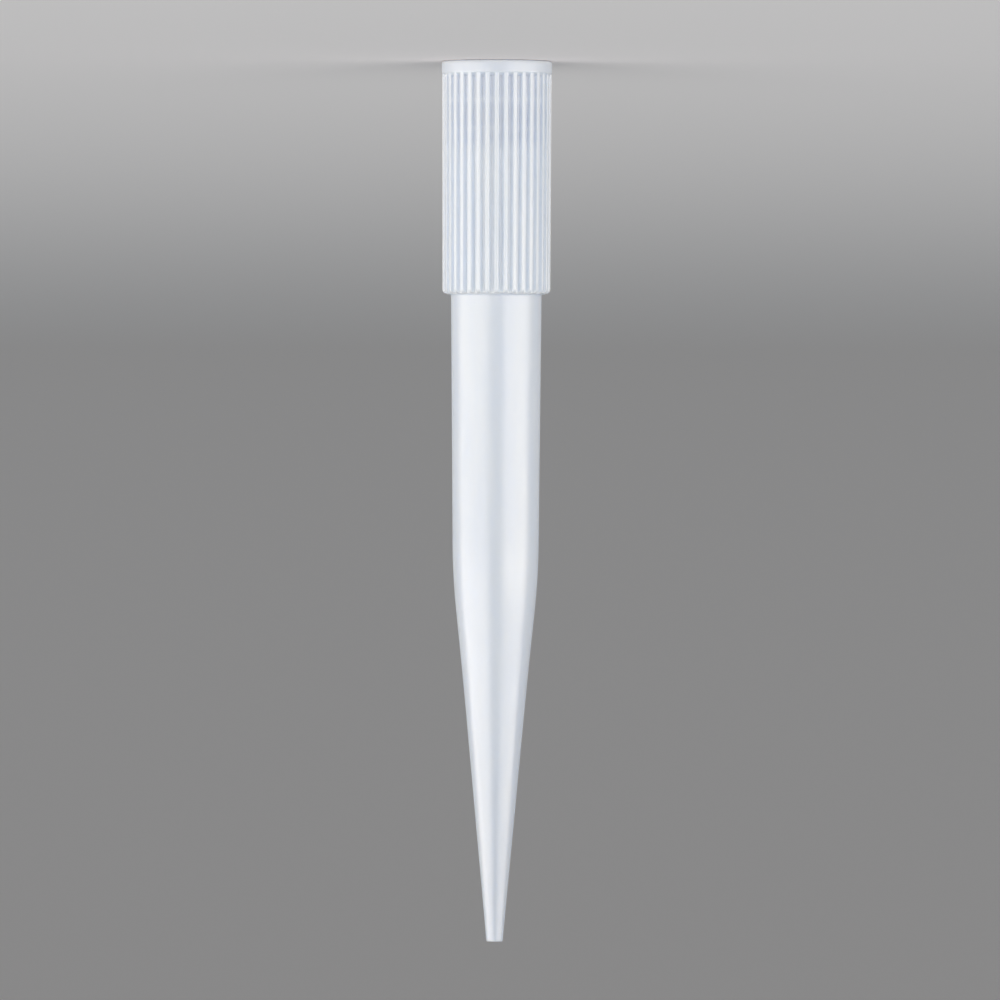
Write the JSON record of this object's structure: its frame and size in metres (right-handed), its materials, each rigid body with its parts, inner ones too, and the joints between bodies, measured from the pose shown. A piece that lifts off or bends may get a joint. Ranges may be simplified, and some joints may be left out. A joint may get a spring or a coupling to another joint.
{
  "type": "pipette tip",
  "caption": "Tapered see-through plastic tip for a large air-displacement pipette, with a ribbed collar, a rack ledge, seal rings in its mouth and a fine orifice at its point.",
  "frame": {"origin": "centre of the open rim, in the plane of the rim", "axes": "+Z along the tip's axis from the rim to the point; the tip is round, so X and Y are free, and a rib lies on +X"},
  "size_m": [0.0088, 0.0088, 0.071],
  "materials": {
    "milky_polypropylene": "natural milky see-through polypropylene, satin from the mould"
  },
  "bodies": {
    "root": {"pipette_tip": "milky_polypropylene"}
  },
  "joints": []
}
